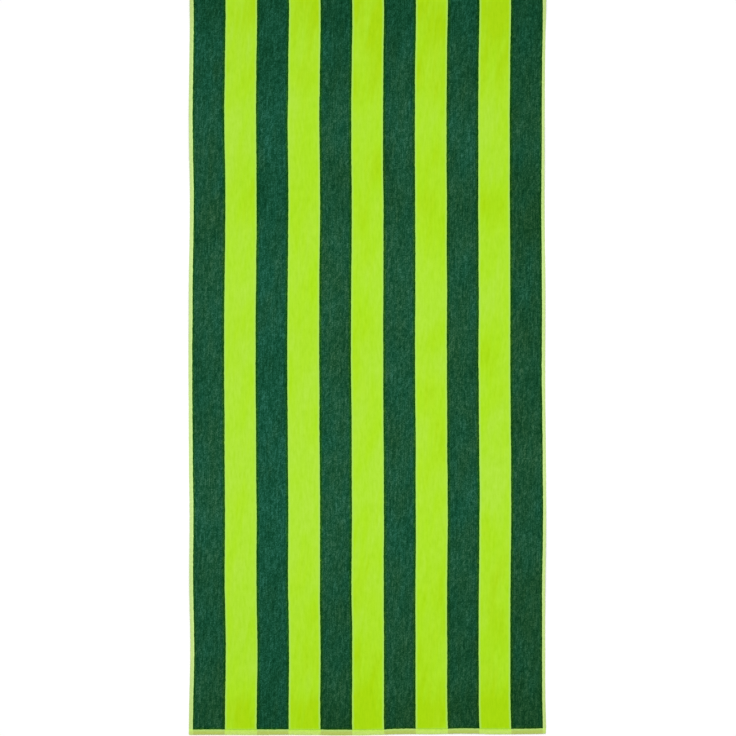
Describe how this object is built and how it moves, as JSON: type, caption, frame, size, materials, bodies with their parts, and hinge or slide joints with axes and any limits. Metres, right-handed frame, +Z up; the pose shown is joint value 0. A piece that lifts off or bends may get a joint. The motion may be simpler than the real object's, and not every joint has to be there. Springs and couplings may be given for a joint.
{
  "type": "beach towel",
  "caption": "Striped cotton velour beach towel, hemmed on all four sides, lying flat with its pile face up",
  "frame": {"origin": "middle of the bounding box, on the surface that the towel lies on", "axes": "+X across the towel, +Y along it, +Z up out of its velour face"},
  "size_m": [0.8044, 1.803, 0.007],
  "materials": {
    "striped_velour": "matt sheared cotton pile; the colour is the mean of its dark green and lime stripes",
    "dark_green_pile": "matt sheared cotton velour pile, softly mottled",
    "lime_pile": "matt sheared cotton velour pile, smooth",
    "lime_hem_cloth": "matt plain-woven cotton, folded and stitched",
    "sewing_thread": "fine matt polyester-cotton thread"
  },
  "bodies": {
    "root": {"towel_cloth": "striped_velour"}
  },
  "joints": []
}
